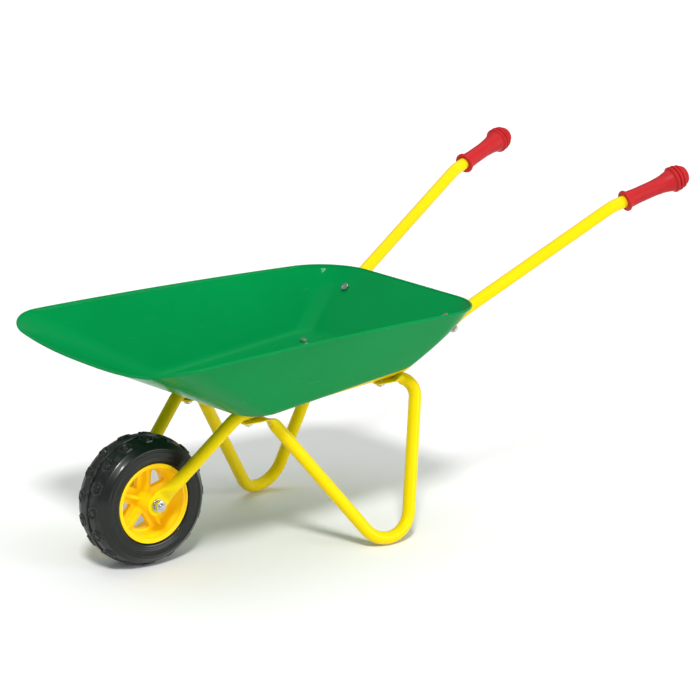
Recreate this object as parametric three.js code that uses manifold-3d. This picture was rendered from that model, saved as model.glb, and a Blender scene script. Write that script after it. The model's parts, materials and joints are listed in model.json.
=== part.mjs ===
// Child's metal wheelbarrow: a pressed steel tray bolted to two bent tube rails and two tube legs,
// a plastic wheel turning on a sleeve between the flattened fork ends, and two slip-on grips.
// Millimetres. +X runs from the wheel to the grips, +Z is up, -Y is the barrow's left side.
// The shapes are first drawn with the axle over x = 0 and the ground at z = 0, then the whole
// barrow is moved so that the origin is the bottom centre of its bounding box.
import * as THREE from 'three';
import { mergeVertices } from 'three/addons/utils/BufferGeometryUtils.js';
import Module from 'manifold-3d';

const wasm = await Module();
wasm.setup();

// ---- driving dimensions -------------------------------------------------------------------
const GAP = 0.3; // air between pieces that touch
const RUNNING = 0.05; // radial play of the wheel on its sleeve
const SIDES = [['left', -1], ['right', 1]];

const WHEEL_R = 80; // tyre radius over the parting ridge, and axle height
const TYRE_HALF = 29; // half of the tyre's width
const HUB_LIP_R = 49.3;
const HUB_LIP_Y = 27.5; // outer face of the hub's lip
const HUB_SEAT_R = 44; // barrel on which the tyre sits
const HUB_BORE_R = 6 + RUNNING;
const BOSS_R = 11.5;
const BOSS_END = 30;
const SPOKES = 5;
const SPOKE_PHASE = 12.5; // degrees above +X of the first spoke
const WEB_R = 38.6; // the web between boss and barrel, and its two faces
const WEB_BACK = 1.4;
const WEB_FRONT = 4;
const TREAD_KNOBS = 16; // on each shoulder
const AXLE_R = 4; // M8

const TUBE_R = 8;
const TUBE_WALL = 1.3;
const TUBE_SIDES = { outer: 12, inner: 6 };
const STRIP_W = 12.2; // half width of a flattened tube end
const STRIP_T = 1.4; // half thickness of a flattened tube end
const TONGUE_Y = 33; // middle plane of the fork's flattened end

const SHEET = 1.0; // tray sheet
const BEAD_R = 1.6; // wired edge of the tray
const FLOOR_FRONT = 85;
const FLOOR_SLOPE = 0.1; // the floor rises towards the grips
const FLOOR_Z = 187; // top of the floor at its front edge
const FLOOR_HALF_FRONT = 117;
const FLOOR_HALF_REAR = 112;
const REAR_SLOPE = 0.847; // rise of the rear wall over its run
const RIM_FRONT = -75.4;
const RIM_REAR = 417;
const RIM_HALF_FRONT = 178;
const RIM_HALF_REAR = 156;
const RIM_Z = 284; // wired edge at the front corners and at the rear
const RIM_CROWN = 3.5; // how far the long sides arch above that
const RIM_DIP = 20; // how far the pouring edge sags in its middle
const CORNER = { floorFront: 36, floorRear: 22, rimFront: 44, rimRear: 68 };
const FLOOR_FILLET = 9; // run of the bend between floor and walls
const CORNER_STEPS = 7;

const BOLT_R = 2.9; // M6
const BOLT_HEAD = { r: 5.7, h: 3.8 };
const BOLT_NUT = { r: 5.7, h: 4 };

const FORK_RISE = 0.9915; // rise over run of the rail's front part
const FORK_SPLAY = 0.282; // how fast the rails spread there
const HANDLE_RISE = 0.5467;
const HANDLE_SPLAY = 0.225;
const GRIP_START = new THREE.Vector3(RIM_REAR + 221, RIM_HALF_REAR + 0.2, RIM_Z + 102);
const GRIP_END = GRIP_START.clone().add(new THREE.Vector3(91.5, 17.6, 27.5));
const HANDLE_BEND = GRIP_START.clone().lerp(GRIP_END, -0.197); // where the handle turns into the grip
const GRIP_BORE = 88;

const LEG_AHEAD = { front: 38.361, rear: 14.463 }; // tops of a leg's members, beyond the rail's bends
const LEG_TOP_Y = { front: 71.4, rear: 91.5 };
const LEG_FOOT = { share: 0.70037, y: 150.2, z: -38.6 }; // where the two members would meet
const FOOT_BEND = 36;

const GREEN = ['#01904a', 0.28, 0.0];
const YELLOW = ['#f7e217', 0.32, 0.0];
const HUB_YELLOW = ['#f5cf12', 0.42, 0.0];
const RED = ['#db3d3c', 0.5, 0.0];
const BLACK = ['#23282a', 0.38, 0.0];
const ZINC = ['#c4c7ca', 0.3, 1.0];

// ---- heights that follow from the driving dimensions ---------------------------------------
const v3 = (x, y, z) => new THREE.Vector3(x, y, z);
const axleAt = (y) => v3(0, y, WHEEL_R);
const floorZ = (x) => FLOOR_Z + FLOOR_SLOPE * (x - FLOOR_FRONT);
const floorNormal = v3(-FLOOR_SLOPE, 0, 1).normalize();
const wallNormal = v3(-REAR_SLOPE, 0, 1).normalize();
const wallZ = (x) => RIM_Z - BEAD_R - REAR_SLOPE * (RIM_REAR - x);
const FLOOR_REAR = (wallZ(0) - floorZ(0)) / (FLOOR_SLOPE - REAR_SLOPE);

// A rail's centreline lies this far under the tray's inner face.
const UNDER_SHEET = SHEET + GAP + TUBE_R;
const underFloor = (x) => floorZ(x) - UNDER_SHEET / floorNormal.z;
const underWall = (x) => wallZ(x) - UNDER_SHEET / wallNormal.z;
const forkZ = (x) => WHEEL_R + 0.86 + FORK_RISE * x;
const handleZ = (x) => HANDLE_BEND.z + HANDLE_RISE * (x - HANDLE_BEND.x);
const meet = (f, g) => (g(0) - f(0)) / (f(1) - f(0) - g(1) + g(0));

const RAIL_FRONT_X = meet(forkZ, underFloor);
const RAIL_REAR_X = meet(underFloor, underWall);
const RAIL_TOP_X = meet(underWall, handleZ);
const RAIL_Y = {
  front: 34.2 + FORK_SPLAY * RAIL_FRONT_X,
  rear: 79,
  top: HANDLE_BEND.y + HANDLE_SPLAY * (RAIL_TOP_X - HANDLE_BEND.x),
};

// Where the six tray bolts go through the tray's inner face, for the right-hand side.
const between = (a, b, t) => a + (b - a) * t;
const railYat = (x) => between(RAIL_Y.front, RAIL_Y.rear, (x - RAIL_FRONT_X) / (RAIL_REAR_X - RAIL_FRONT_X));
const FRONT_BOLT_X = RAIL_FRONT_X + 13;
const REAR_BOLT_X = RAIL_REAR_X - 33;
const WALL_BOLT_T = 0.78; // along the rail from its rear bend to its top bend
const boltSeats = {
  front: { at: v3(FRONT_BOLT_X, railYat(FRONT_BOLT_X), floorZ(FRONT_BOLT_X)), up: floorNormal, strip: true },
  rear: { at: v3(REAR_BOLT_X, railYat(REAR_BOLT_X), floorZ(REAR_BOLT_X)), up: floorNormal, strip: true },
  wall: { at: wallSeat(), up: wallNormal, strip: false },
};

function wallSeat() {
  const x = between(RAIL_REAR_X, RAIL_TOP_X, WALL_BOLT_T) + wallNormal.x * UNDER_SHEET;
  return v3(x, between(RAIL_Y.rear, RAIL_Y.top, WALL_BOLT_T), wallZ(x));
}

// ---- solids ---------------------------------------------------------------------------------
function solid(geometry) {
  const bare = geometry.clone();
  bare.deleteAttribute('normal');
  bare.deleteAttribute('uv');
  const welded = mergeVertices(bare, 1e-4);
  return new wasm.Manifold(new wasm.Mesh({
    numProp: 3,
    vertProperties: new Float32Array(welded.attributes.position.array),
    triVerts: new Uint32Array(welded.index.array),
  }));
}

function surface(body) {
  const mesh = body.getMesh();
  const geometry = new THREE.BufferGeometry();
  geometry.setAttribute('position', new THREE.BufferAttribute(new Float32Array(mesh.vertProperties), 3));
  geometry.setIndex(Array.from(mesh.triVerts));
  return geometry;
}

// Skin over a list of rings that all have the same number of points, closed at both ends.
function loft(rings) {
  const n = rings[0].length;
  const points = rings.flat();
  const index = [];
  for (let i = 0; i + 1 < rings.length; i += 1) {
    for (let j = 0; j < n; j += 1) {
      const a = i * n + j;
      const b = i * n + ((j + 1) % n);
      index.push(a, b, b + n, a, b + n, a + n);
    }
  }
  const cap = (ring, base, flip) => {
    const middle = ring.reduce((sum, p) => sum.add(p), v3(0, 0, 0)).divideScalar(n);
    points.push(middle);
    for (let j = 0; j < n; j += 1) {
      const pair = [base + j, base + ((j + 1) % n)];
      if (flip) pair.reverse();
      index.push(pair[0], points.length - 1, pair[1]);
    }
  };
  cap(rings[0], 0, false);
  cap(rings[rings.length - 1], (rings.length - 1) * n, true);
  const geometry = new THREE.BufferGeometry().setFromPoints(points);
  geometry.setIndex(index);
  return geometry;
}

// Turned shape: the profile holds [radius, height] pairs, turned about the line from `at` along `axis`.
function turned(profile, at, axis, segments) {
  const lathe = new THREE.LatheGeometry(profile.map(([r, h]) => new THREE.Vector2(r, h)), segments);
  lathe.applyQuaternion(new THREE.Quaternion().setFromUnitVectors(v3(0, 1, 0), axis.clone().normalize()));
  return solid(lathe.translate(at.x, at.y, at.z));
}

const disc = (r, h, at, axis, segments = 24) => turned([[0, 0], [r, 0], [r, h], [0, h]], at, axis, segments);
const ringDisc = (r, bore, h, at, axis, segments = 24) => turned(
  [[bore, 0], [r, 0], [r, h], [bore, h], [bore, 0]], at, axis, segments);

function keepOutward(body) {
  return body.volume() < 0 ? solid(flipped(surface(body))) : body;
}

function flipped(geometry) {
  const index = Array.from(geometry.index.array);
  for (let i = 0; i < index.length; i += 3) [index[i], index[i + 1]] = [index[i + 1], index[i]];
  geometry.setIndex(index);
  return geometry;
}

// A piece drawn for the right-hand side, moved to the left-hand side when `side` is -1.
function onSide(body, side) {
  return side > 0 ? body : solid(flipped(surface(body).scale(1, -1, 1)));
}

// ---- bent tubes -----------------------------------------------------------------------------
// Points along a line that runs straight between its corners and turns each one on a radius.
function bentLine(corners, spacing = 15) {
  const line = [{ p: corners[0].at.clone() }];
  for (let i = 1; i + 1 < corners.length; i += 1) {
    const corner = corners[i].at;
    const back = corners[i - 1].at.clone().sub(corner).normalize();
    const on = corners[i + 1].at.clone().sub(corner).normalize();
    const turn = Math.PI - back.angleTo(on);
    const reach = corners[i].radius * Math.tan(turn / 2);
    const centre = corner.clone().add(back.clone().add(on).normalize()
      .multiplyScalar(corners[i].radius / Math.cos(turn / 2)));
    const start = corner.clone().addScaledVector(back, reach).sub(centre);
    const axis = back.clone().negate().cross(on).normalize();
    const steps = corners[i].steps ?? Math.max(2, Math.ceil(THREE.MathUtils.radToDeg(turn) / spacing));
    for (let k = 0; k <= steps; k += 1) {
      line.push({ p: start.clone().applyAxisAngle(axis, (turn * k) / steps).add(centre) });
    }
  }
  line.push({ p: corners[corners.length - 1].at.clone() });
  let run = 0;
  line.forEach((s, i) => {
    if (i) run += s.p.distanceTo(line[i - 1].p);
    s.run = run;
  });
  return line;
}

// Extra points on the line at the given distances from its start.
function withStops(line, stops) {
  const out = line.map((s) => ({ ...s }));
  for (const stop of stops) {
    const i = out.findIndex((s) => s.run > stop);
    if (i > 0 && stop - out[i - 1].run > 1 && out[i].run - stop > 1) {
      const t = (stop - out[i - 1].run) / (out[i].run - out[i - 1].run);
      out.splice(i, 0, { p: out[i - 1].p.clone().lerp(out[i].p, t), run: stop });
    }
  }
  return out;
}

const smooth = (t) => { const c = Math.min(1, Math.max(0, t)); return c * c * (3 - 2 * c); };

// One ring of a tube that goes from round (flat = 0) to a flattened strip (flat = 1).
// `across` is the strip's wide direction and `thin` the direction it is pressed in.
function tubeRing(centre, across, thin, flat, shrink, segments) {
  const a = between(TUBE_R, STRIP_W, flat) - shrink;
  const b = Math.max(between(TUBE_R, STRIP_T, flat) - shrink, 0.15);
  const power = between(1, 0.55, flat);
  const bulge = (t) => Math.sign(t) * Math.abs(t) ** power;
  return Array.from({ length: segments }, (_, i) => {
    const angle = (2 * Math.PI * i) / segments;
    return centre.clone().addScaledVector(across, a * bulge(Math.cos(angle)))
      .addScaledVector(thin, b * bulge(Math.sin(angle)));
  });
}

// Skin of a tube along `line`. `level(run)` is the direction kept sideways, `flatness(run)` tells how
// far the tube is pressed there, and `pressed` is 'side' or 'plane'.
function tubeSkin(line, level, flatness, pressed, grow, segments) {
  const rings = line.map((s, i) => {
    const before = line[Math.max(i - 1, 0)].p;
    const after = line[Math.min(i + 1, line.length - 1)].p;
    const along = after.clone().sub(before).normalize();
    const hint = level(s.run);
    const side = hint.clone().addScaledVector(along, -hint.dot(along)).normalize();
    const plane = along.clone().cross(side).normalize();
    const flat = flatness(s.run);
    return pressed === 'side' ? tubeRing(s.p, plane, side, flat, -grow, segments)
      : tubeRing(s.p, side, plane, flat, -grow, segments);
  });
  return keepOutward(solid(loft(rings)));
}

// The tube's inside runs right through, pinched to a slit where the tube is flattened.
function stretched(line, by) {
  const first = line[0].p.clone().sub(line[1].p).normalize().multiplyScalar(by).add(line[0].p);
  const last = line[line.length - 1];
  const tail = last.p.clone().sub(line[line.length - 2].p).normalize().multiplyScalar(by).add(last.p);
  return [{ p: first, run: line[0].run }, ...line.slice(1, -1), { p: tail, run: last.run }];
}

// ---- rails ----------------------------------------------------------------------------------
const TONGUE_NOSE = 13; // radius of the fork's rounded end
const TONGUE_BAND = 12; // wide enough to take the whole flattened tube across
const tongueAlong = v3(1, 0, FORK_RISE).normalize();
const railEnd = GRIP_START.clone().add(GRIP_END.clone().sub(GRIP_START).normalize()
  .multiplyScalar(GRIP_BORE - 3));

function railLine() {
  const tip = axleAt(TONGUE_Y).addScaledVector(tongueAlong, -TONGUE_NOSE);
  const root = axleAt(TONGUE_Y).addScaledVector(tongueAlong, TONGUE_NOSE);
  const shoulderX = 26;
  return withStops(bentLine([
    { at: tip },
    { at: root, radius: 22 },
    {
      at: v3(shoulderX, RAIL_Y.front - FORK_SPLAY * (RAIL_FRONT_X - shoulderX), forkZ(shoulderX)),
      radius: 30,
    },
    { at: v3(RAIL_FRONT_X, RAIL_Y.front, underFloor(RAIL_FRONT_X)), radius: 30 },
    { at: v3(RAIL_REAR_X, RAIL_Y.rear, underFloor(RAIL_REAR_X)), radius: 34 },
    { at: v3(RAIL_TOP_X, RAIL_Y.top, underWall(RAIL_TOP_X)), radius: 60 },
    { at: HANDLE_BEND, radius: 60 },
    { at: railEnd },
  ]), [24, 28, 33, 38, 42]);
}

const TONGUE_FLAT = [24, 42]; // the fork end is flat up to the first distance, round from the second
const tongueFlatness = (run) => 1 - smooth((run - TONGUE_FLAT[0]) / (TONGUE_FLAT[1] - TONGUE_FLAT[0]));
const sideways = () => v3(0, 1, 0);

function railSkin(grow, segments) {
  return tubeSkin(railLine(), sideways, tongueFlatness, 'side', grow, segments);
}

function rail() {
  const line = stretched(railLine(), 2);
  const inside = tubeSkin(line, sideways, tongueFlatness, 'side', -TUBE_WALL, TUBE_SIDES.inner);
  let body = railSkin(0, TUBE_SIDES.outer).subtract(inside);
  body = body.intersect(tongueOutline());
  body = body.subtract(disc(AXLE_R + GAP, TONGUE_BAND, axleAt(TONGUE_Y - TONGUE_BAND / 2),
    v3(0, 1, 0), 16));
  for (const seat of Object.values(boltSeats)) body = body.subtract(boltHole(seat));
  return body;
}

// What is kept of the rail: all that lies ahead of the axle, and a round nose behind it.
function tongueOutline() {
  const size = 1200;
  const nose = disc(TONGUE_NOSE, TONGUE_BAND, axleAt(TONGUE_Y - TONGUE_BAND / 2), v3(0, 1, 0), 24);
  const cross = tongueAlong.clone().cross(v3(0, 1, 0));
  const ahead = solid(loft([0, size].map((y) => [-size, size].flatMap((w) => {
    const base = axleAt(y).addScaledVector(cross, w);
    const far = base.clone().addScaledVector(tongueAlong, size);
    return w < 0 ? [base, far] : [far, base];
  }))));
  return nose.add(keepOutward(ahead));
}

// ---- legs -----------------------------------------------------------------------------------
// The flattened ends of a leg lie under the rail, in a plane parallel to the tray's floor.
const STRIP_UNDER = SHEET + 2 * GAP + 2 * TUBE_R + STRIP_T;
const stripAt = (seat) => seat.at.clone().addScaledVector(seat.up, -STRIP_UNDER);
const LEG_X = { front: RAIL_FRONT_X + LEG_AHEAD.front, rear: RAIL_REAR_X + LEG_AHEAD.rear };
const legTop = (end) => v3(LEG_X[end], LEG_TOP_Y[end], floorZ(LEG_X[end]) - STRIP_UNDER / floorNormal.z);
const legFoot = v3(between(LEG_X.front, LEG_X.rear, LEG_FOOT.share), LEG_FOOT.y, LEG_FOOT.z);

function legLine() {
  const front = stripAt(boltSeats.front);
  const rear = stripAt(boltSeats.rear);
  const tip = (end, top) => end.clone().add(end.clone().sub(top).normalize().multiplyScalar(9.5));
  return bentLine([
    { at: tip(front, legTop('front')) },
    { at: legTop('front'), radius: 18 },
    { at: legFoot, radius: FOOT_BEND },
    { at: legTop('rear'), radius: 22 },
    { at: tip(rear, legTop('rear')) },
  ]);
}

const LEG_FLAT = { front: [33, 47], rear: [24, 40] }; // flat up to, round from, for each end

function leg() {
  const plain = legLine();
  const length = plain[plain.length - 1].run;
  const stops = [24, 50, 58, 66];
  const line = withStops(plain, [...stops, ...stops.map((s) => length - s)]);
  const plane = legTop('front').sub(legFoot).cross(legTop('rear').sub(legFoot)).normalize();
  if (plane.y < 0) plane.negate();
  const ease = (run, [a, b]) => 1 - smooth((run - a) / (b - a));
  const flatness = (run) => Math.max(ease(run, LEG_FLAT.front), ease(length - run, LEG_FLAT.rear));
  const across = (run) => plane.clone().lerp(v3(0, 1, 0), flatness(run)).normalize();
  const skin = (l, grow, segments) => tubeSkin(l, across, flatness, 'plane', grow, segments);
  let body = skin(line, 0, TUBE_SIDES.outer)
    .subtract(skin(stretched(line, 2), -TUBE_WALL, TUBE_SIDES.inner));
  body = body.subtract(railSkin(GAP, TUBE_SIDES.outer));
  for (const seat of [boltSeats.front, boltSeats.rear]) body = body.subtract(boltHole(seat));
  return body;
}

// ---- tray -----------------------------------------------------------------------------------
// Half of a rounded four-cornered outline, from the middle of its front to the middle of its rear.
function halfOutline(front, rear, halfFront, halfRear, frontRadius, rearRadius) {
  const flat = (x, y) => v3(x, y, 0);
  const line = bentLine([
    { at: flat(front, 0) },
    { at: flat(front, halfFront), radius: frontRadius, steps: CORNER_STEPS },
    { at: flat(rear, halfRear), radius: rearRadius, steps: CORNER_STEPS },
    { at: flat(rear, 0) },
  ]);
  return line.map((s) => s.p);
}

// The same number of points on every outline: both corners take the same steps, and each straight
// is split evenly.
function outline(front, rear, halfFront, halfRear, frontRadius, rearRadius) {
  const half = halfOutline(front, rear, halfFront, halfRear, frontRadius, rearRadius);
  const corner = CORNER_STEPS + 1;
  const split = (a, b, n) => Array.from({ length: n }, (_, i) => a.clone().lerp(b, i / n));
  const points = [
    ...split(half[0], half[1], 6), ...half.slice(1, corner),
    ...split(half[corner], half[corner + 1], 6), ...half.slice(corner + 1, 2 * corner),
    ...split(half[2 * corner], half[2 * corner + 1], 3), half[2 * corner + 1],
  ];
  const other = points.slice(1, -1).reverse().map((p) => v3(p.x, -p.y, 0));
  return [...points, ...other];
}

function rimHeight(p) {
  const t = (p.x - RIM_FRONT) / (RIM_REAR - RIM_FRONT);
  const sag = Math.max(0, 1 - (p.x - RIM_FRONT) / 60) * (1 - (Math.abs(p.y) / RIM_HALF_FRONT) ** 2.6);
  return RIM_Z + RIM_CROWN * 4 * t * (1 - t) - RIM_DIP * Math.max(0, sag);
}

// Outline of the inner face at a share of the walls' height: 0 is the floor, 1 the wired edge.
// The rear corners open out late, so that the rear wall stays flat where it is bolted.
function level(t) {
  return outline(between(FLOOR_FRONT, RIM_FRONT, t), between(FLOOR_REAR, RIM_REAR, t),
    between(FLOOR_HALF_FRONT, RIM_HALF_FRONT, t), between(FLOOR_HALF_REAR, RIM_HALF_REAR, t),
    between(CORNER.floorFront, CORNER.rimFront, t), between(CORNER.floorRear, CORNER.rimRear, t ** 2.6));
}

function trayRings() {
  const floor = level(0).map((p) => p.setZ(floorZ(p.x)));
  const rim = level(1).map((p) => p.setZ(rimHeight(p) - BEAD_R));
  const wall = (t) => level(t).map((p, i) => p.setZ(between(floor[i].z, rim[i].z, t)));
  const flat = outline(FLOOR_FRONT + FLOOR_FILLET, FLOOR_REAR - FLOOR_FILLET, FLOOR_HALF_FRONT - FLOOR_FILLET,
    FLOOR_HALF_REAR - FLOOR_FILLET, CORNER.floorFront - FLOOR_FILLET, CORNER.floorRear - FLOOR_FILLET)
    .map((p) => p.setZ(floorZ(p.x)));
  const first = wall(FLOOR_FILLET / 110);
  const fillet = (t) => floor.map((p, i) => flat[i].clone().multiplyScalar((1 - t) ** 2)
    .addScaledVector(p, 2 * t * (1 - t)).addScaledVector(first[i], t * t));
  return [flat, fillet(1 / 3), fillet(2 / 3), first, wall(0.35), wall(0.6), wall(0.8), rim];
}

// The sheet's outer face lies SHEET behind the inner one.
function behind(rings) {
  const n = rings[0].length;
  return rings.map((ring, i) => ring.map((p, j) => {
    const along = ring[(j + 1) % n].clone().sub(ring[(j + n - 1) % n]);
    const up = rings[Math.min(i + 1, rings.length - 1)][j].clone().sub(rings[Math.max(i - 1, 0)][j]);
    const normal = i ? along.cross(up).normalize() : floorNormal.clone();
    if (normal.z < 0) normal.negate();
    return p.clone().addScaledVector(normal, -SHEET);
  }));
}

// Wired edge: the sheet ends in a round bead that stands outside the inner face.
function beadRings(rim) {
  const n = rim.length;
  const turns = [150, 105, 60, 15, -30, -75];
  return turns.map((deg) => rim.map((p, j) => {
    const along = rim[(j + 1) % n].clone().sub(rim[(j + n - 1) % n]).normalize();
    const out = v3(-along.y, along.x, 0).normalize();
    if (out.dot(p.clone().sub(v3((RIM_FRONT + RIM_REAR) / 2, 0, p.z))) < 0) out.negate();
    const angle = THREE.MathUtils.degToRad(deg);
    return p.clone().addScaledVector(out, BEAD_R * (1 + Math.cos(angle)))
      .add(v3(0, 0, BEAD_R * Math.sin(angle)));
  }));
}

function tray() {
  const inner = trayRings();
  const rim = inner[inner.length - 1];
  let body = keepOutward(solid(loft([...inner, ...beadRings(rim), ...behind(inner).reverse()])));
  for (const seat of Object.values(boltSeats)) {
    body = body.subtract(boltHole(seat)).subtract(onSide(boltHole(seat), -1));
  }
  return body;
}

// ---- tray bolts -----------------------------------------------------------------------------
const boltReach = (seat) => SHEET + 2 * TUBE_R + 2 * GAP + (seat.strip ? 2 * STRIP_T + GAP : 0);
const boltHole = (seat) => disc(BOLT_R + GAP, 60, seat.at.clone().addScaledVector(seat.up, -45),
  seat.up, 12);

function hex(r, h, at, axis) {
  return turned([[0, 0], [r * 0.9, 0], [r, h * 0.12], [r, h * 0.88], [r * 0.9, h], [0, h]], at, axis, 6);
}

function trayBolt(seat) {
  const end = boltReach(seat) + BOLT_NUT.h + 1.6;
  const shank = disc(BOLT_R, end + 1, seat.at.clone().addScaledVector(seat.up, -end), seat.up, 12);
  return shank.add(hex(BOLT_HEAD.r, BOLT_HEAD.h, seat.at.clone().addScaledVector(seat.up, GAP), seat.up));
}

function trayNut(seat) {
  const at = seat.at.clone().addScaledVector(seat.up, -boltReach(seat) - BOLT_NUT.h);
  const bore = disc(BOLT_R + 0.1, BOLT_NUT.h + 4, at.clone().addScaledVector(seat.up, -2), seat.up, 12);
  return hex(BOLT_NUT.r, BOLT_NUT.h, at, seat.up).subtract(bore);
}

// ---- wheel ----------------------------------------------------------------------------------
const alongAxle = v3(0, 1, 0);
const wheelTurned = (profile, segments = 32) => turned(profile, axleAt(0), alongAxle, segments);

// Profile of one side, mirrored to the other and closed along the inside.
function tyreProfile() {
  const outside = [
    [HUB_SEAT_R + GAP, 19], [HUB_SEAT_R + GAP, HUB_LIP_Y - 2.6], [HUB_LIP_R + 0.8, HUB_LIP_Y - 2.4],
    [HUB_LIP_R + 4, TYRE_HALF], [WHEEL_R - 14.5, TYRE_HALF], [WHEEL_R - 5, TYRE_HALF - 5.5],
    [WHEEL_R - 1.2, TYRE_HALF - 18], [WHEEL_R - 0.9, 1.8], [WHEEL_R, 1.2],
  ];
  const inside = [
    [WHEEL_R - 4, TYRE_HALF - 20], [WHEEL_R - 7.6, TYRE_HALF - 9],
    [WHEEL_R - 14, TYRE_HALF - 3.6], [HUB_SEAT_R + GAP + 3, 19],
  ];
  const flip = (list) => list.map(([r, y]) => [r, -y]).reverse();
  return [...outside, ...flip(outside), ...flip(inside), ...inside, outside[0]];
}

// Tread block: a low six-sided knob on the shoulder, leaning with it.
function treadKnob(angle, side) {
  const lean = v3(Math.cos(angle) * 0.86, side * 0.51, Math.sin(angle) * 0.86);
  const foot = axleAt(side * (TYRE_HALF - 12.5))
    .add(v3(Math.cos(angle), 0, Math.sin(angle)).multiplyScalar(WHEEL_R - 6.4));
  return turned([[0, 0], [7.6, 0], [5.8, 3.9], [0, 3.9]], foot, lean, 6);
}

function tyre() {
  let body = keepOutward(wheelTurned(tyreProfile(), 36));
  for (const [, side] of SIDES) {
    for (let i = 0; i < TREAD_KNOBS; i += 1) {
      const angle = (2 * Math.PI * (i + (side > 0 ? 0.5 : 0))) / TREAD_KNOBS;
      body = body.add(treadKnob(angle, side));
    }
  }
  return body;
}

// Right-hand half of the hub: barrel with a lip, a dished web with windows, ribs and a boss.
function hubHalf() {
  const split = GAP / 2;
  const lip = HUB_LIP_Y;
  const dish = keepOutward(wheelTurned([
    [HUB_BORE_R, split], [BOSS_R, split], [BOSS_R + 1.2, WEB_BACK], [WEB_R, WEB_BACK],
    [WEB_R + 1.6, split], [HUB_SEAT_R, split], [HUB_SEAT_R, lip - 1.9], [HUB_LIP_R, lip - 1.7],
    [HUB_LIP_R, lip - 0.5], [HUB_LIP_R - 1.2, lip], [HUB_LIP_R - 2.6, lip - 0.6], [HUB_SEAT_R - 3, 17],
    [WEB_R + 0.8, WEB_FRONT + 1.5], [WEB_R, WEB_FRONT], [BOSS_R + 1, WEB_FRONT], [BOSS_R, WEB_FRONT + 4],
    [BOSS_R - 1.5, BOSS_END], [HUB_BORE_R, BOSS_END], [HUB_BORE_R, split],
  ]));
  let body = dish;
  for (let i = 0; i < SPOKES; i += 1) {
    const angle = THREE.MathUtils.degToRad(SPOKE_PHASE + (360 * i) / SPOKES);
    body = body.add(hubRib(angle)).subtract(hubWindow(angle + Math.PI / SPOKES));
  }
  return body;
}

const spokeFrame = (angle) => ({
  out: v3(Math.cos(angle), 0, Math.sin(angle)),
  across: v3(-Math.sin(angle), 0, Math.cos(angle)),
});

// Rib along a spoke, low at the barrel and high at the boss.
function hubRib(angle) {
  const { out, across } = spokeFrame(angle);
  const root = WEB_FRONT - 1;
  const section = (r, top, half) => [[-half, root], [half, root], [half * 0.6, top], [-half * 0.6, top]]
    .map(([w, y]) => axleAt(y).addScaledVector(out, r).addScaledVector(across, w));
  return keepOutward(solid(loft([section(BOSS_R - 2.5, 13, 2), section(HUB_SEAT_R - 2.4, 9.5, 2.6)])));
}

// Three-cornered window between two spokes.
function hubWindow(angle) {
  const { out, across } = spokeFrame(angle);
  const corners = [[17, 0], [35, -12.5], [37.5, 0], [35, 12.5]];
  const section = (y) => corners.map(([r, w]) => axleAt(y).addScaledVector(out, r).addScaledVector(across, w));
  return keepOutward(solid(loft([section(-2), section(24)])));
}

// ---- axle -----------------------------------------------------------------------------------
const TONGUE_OUT = TONGUE_Y + STRIP_T + GAP;
const WASHER = { r: 8, h: 1.6 };
const NUT = { r: 7.4, h: 6.4 };
const SLEEVE_END = TONGUE_Y - STRIP_T - GAP;

const sleeve = () => ringDisc(HUB_BORE_R - RUNNING, AXLE_R + GAP, 2 * SLEEVE_END, axleAt(-SLEEVE_END),
  alongAxle, 32);
const axleWasher = () => ringDisc(WASHER.r, AXLE_R + GAP, WASHER.h, axleAt(TONGUE_OUT), alongAxle, 20);

function axleBolt() {
  const seat = TONGUE_OUT + WASHER.h + GAP;
  const shank = disc(AXLE_R, 2 * seat + NUT.h + 3, axleAt(-seat - NUT.h - 2.5), alongAxle, 24);
  return shank.add(hex(NUT.r, 5.3, axleAt(seat), alongAxle));
}

function axleNut() {
  const seat = -(TONGUE_OUT + WASHER.h + GAP + NUT.h);
  const bore = disc(AXLE_R + 0.1, NUT.h + 4, axleAt(seat - 2), alongAxle, 24);
  return hex(NUT.r, NUT.h, axleAt(seat), alongAxle).subtract(bore);
}

// ---- grips ----------------------------------------------------------------------------------
function grip() {
  const along = GRIP_END.clone().sub(GRIP_START);
  const length = along.length();
  const rib = (h, r) => [[r - 1.1, h], [r, h + 1.1], [r, h + 2.4], [r - 1.1, h + 3.4]];
  const profile = [
    [0, 0], [12.6, 0], [13.8, 1.2], [13.8, 3.6], [12.6, 4.8], [11.4, 7], [10.6, 14], [10.3, 34], [10.6, 52],
    [12.2, 66], [14.4, 74.5], ...rib(75.6, 17), ...rib(80.6, 16.8), ...rib(85.6, 15.6),
    [13.2, 91], [9, length - 1.2], [0, length],
  ];
  const body = turned(profile, GRIP_START, along, 16);
  const mouth = GRIP_START.clone().addScaledVector(along, -2 / length);
  const bore = disc(TUBE_R + GAP, GRIP_BORE + 2, mouth, along, 24);
  return body.subtract(bore);
}

// ---- assembly -------------------------------------------------------------------------------
const wheelbarrow = new THREE.Group();
wheelbarrow.name = 'wheelbarrow';

function place(name, body, [color, roughness, metalness]) {
  const mesh = new THREE.Mesh(surface(body), new THREE.MeshStandardMaterial({ color, roughness, metalness }));
  mesh.name = name;
  wheelbarrow.add(mesh);
}

place('tray', tray(), GREEN);
for (const [name, side] of SIDES) {
  place(`rail_${name}`, onSide(rail(), side), YELLOW);
  place(`leg_${name}`, onSide(leg(), side), YELLOW);
  place(`grip_${name}`, onSide(grip(), side), RED);
  place(`hub_${name}`, onSide(hubHalf(), side), HUB_YELLOW);
  place(`axle_washer_${name}`, onSide(axleWasher(), side), ZINC);
  for (const [where, seat] of Object.entries(boltSeats)) {
    place(`bolt_${where}_${name}`, onSide(trayBolt(seat), side), ZINC);
    place(`nut_${where}_${name}`, onSide(trayNut(seat), side), ZINC);
  }
}
place('tyre', tyre(), BLACK);
place('axle_sleeve', sleeve(), ZINC);
place('axle_bolt', axleBolt(), ZINC);
place('axle_nut', axleNut(), ZINC);

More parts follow.
